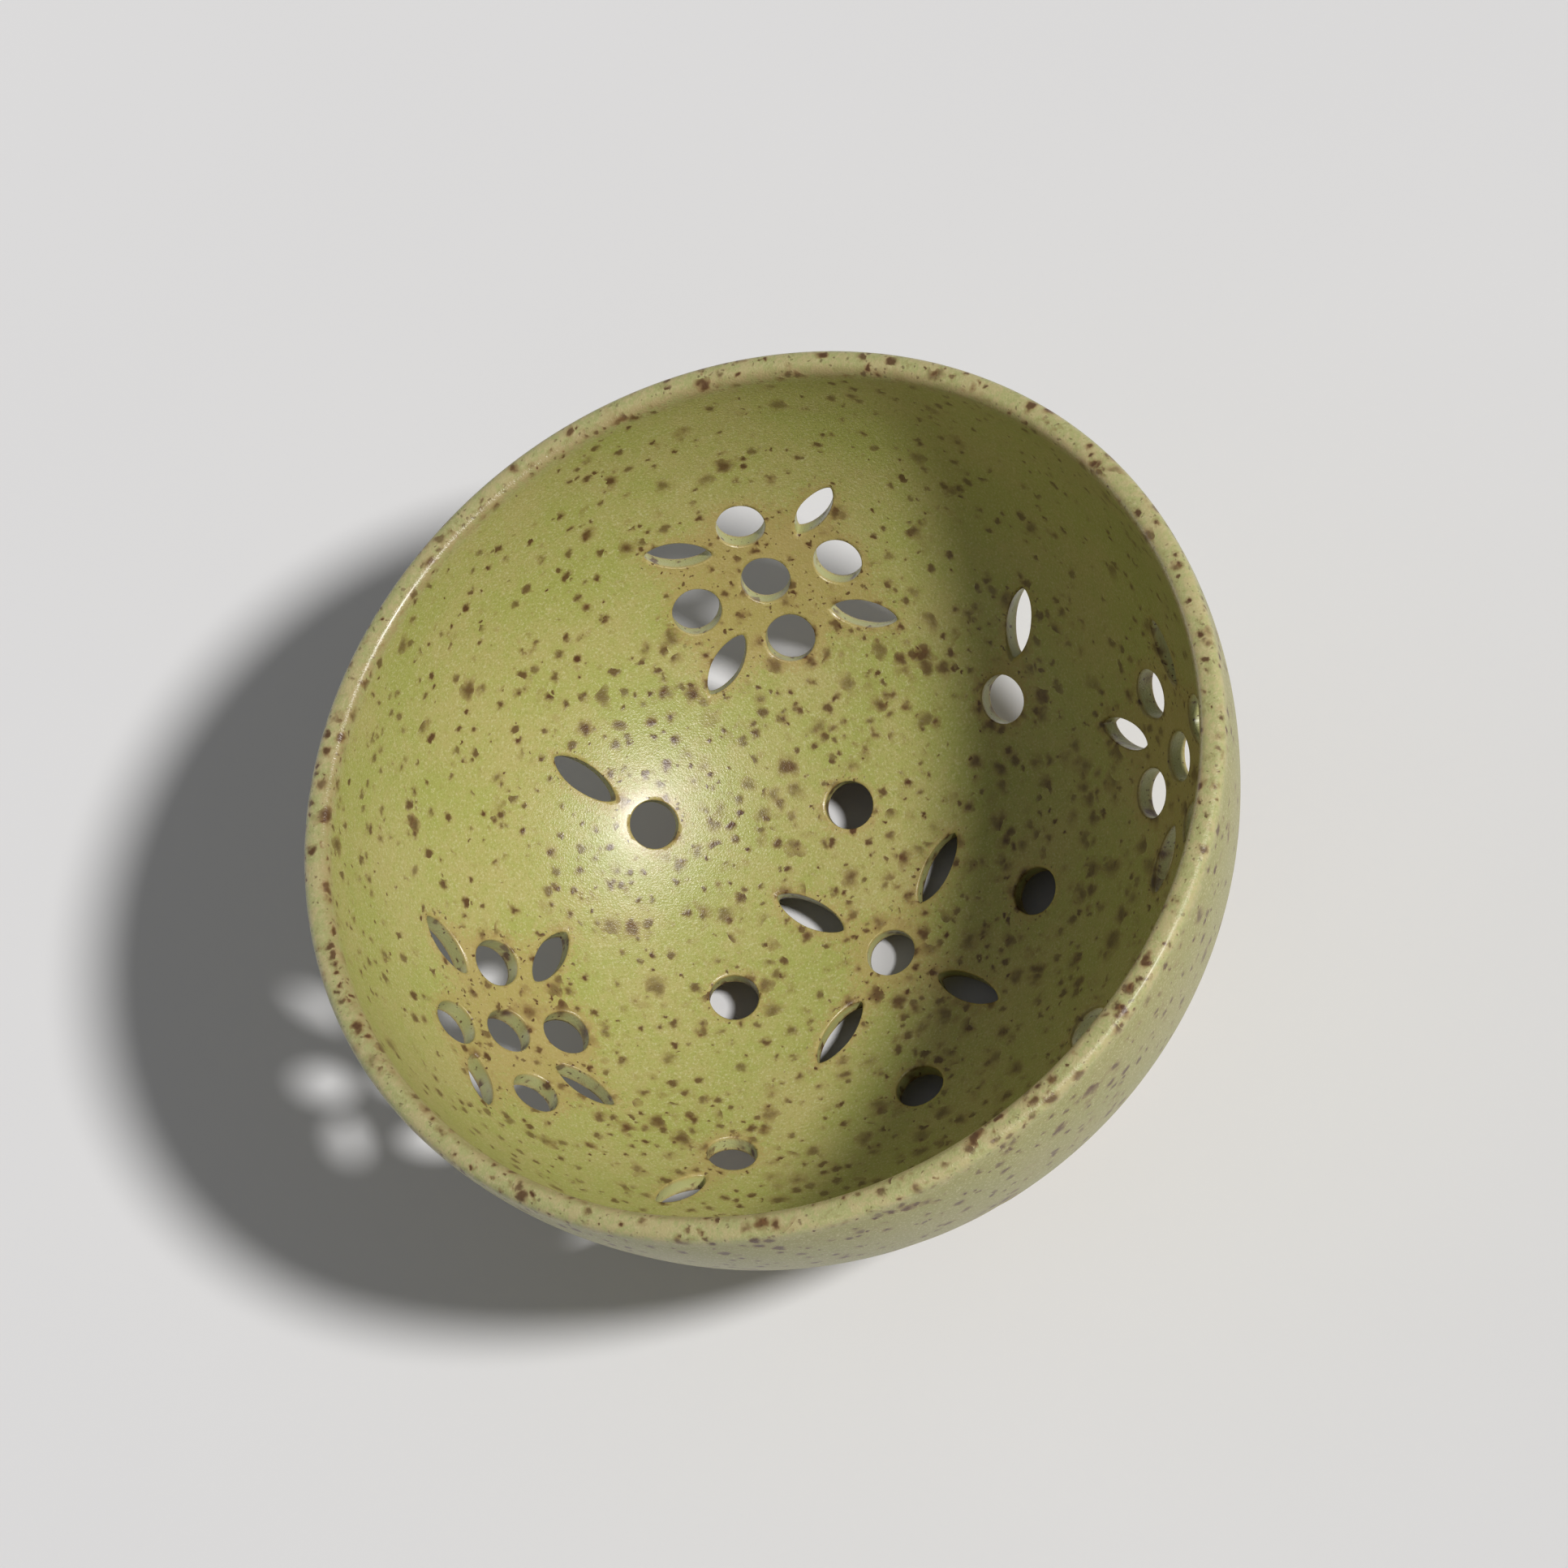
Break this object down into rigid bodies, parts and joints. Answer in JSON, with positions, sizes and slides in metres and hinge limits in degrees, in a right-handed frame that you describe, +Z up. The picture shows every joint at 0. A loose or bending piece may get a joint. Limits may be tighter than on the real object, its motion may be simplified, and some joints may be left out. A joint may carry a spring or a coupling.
{
  "type": "flower frog",
  "caption": "Round pierced stoneware bowl on a raised foot ring, its floor and wall cut with round and leaf-shaped holes that hold cut stems upright or let water drain",
  "frame": {"origin": "On the table at the middle of the foot ring", "axes": "+Z up along the bowl's axis, out of its mouth; +X and +Y each through the middle of a hole cluster, before that cluster's small hand-made drift"},
  "size_m": [0.15, 0.15, 0.0751],
  "materials": {
    "olive_glaze": "satin",
    "bare_clay": "matte"
  },
  "bodies": {
    "root": {"pierced_bowl": "olive_glaze", "foot_ring": "bare_clay"}
  },
  "joints": []
}
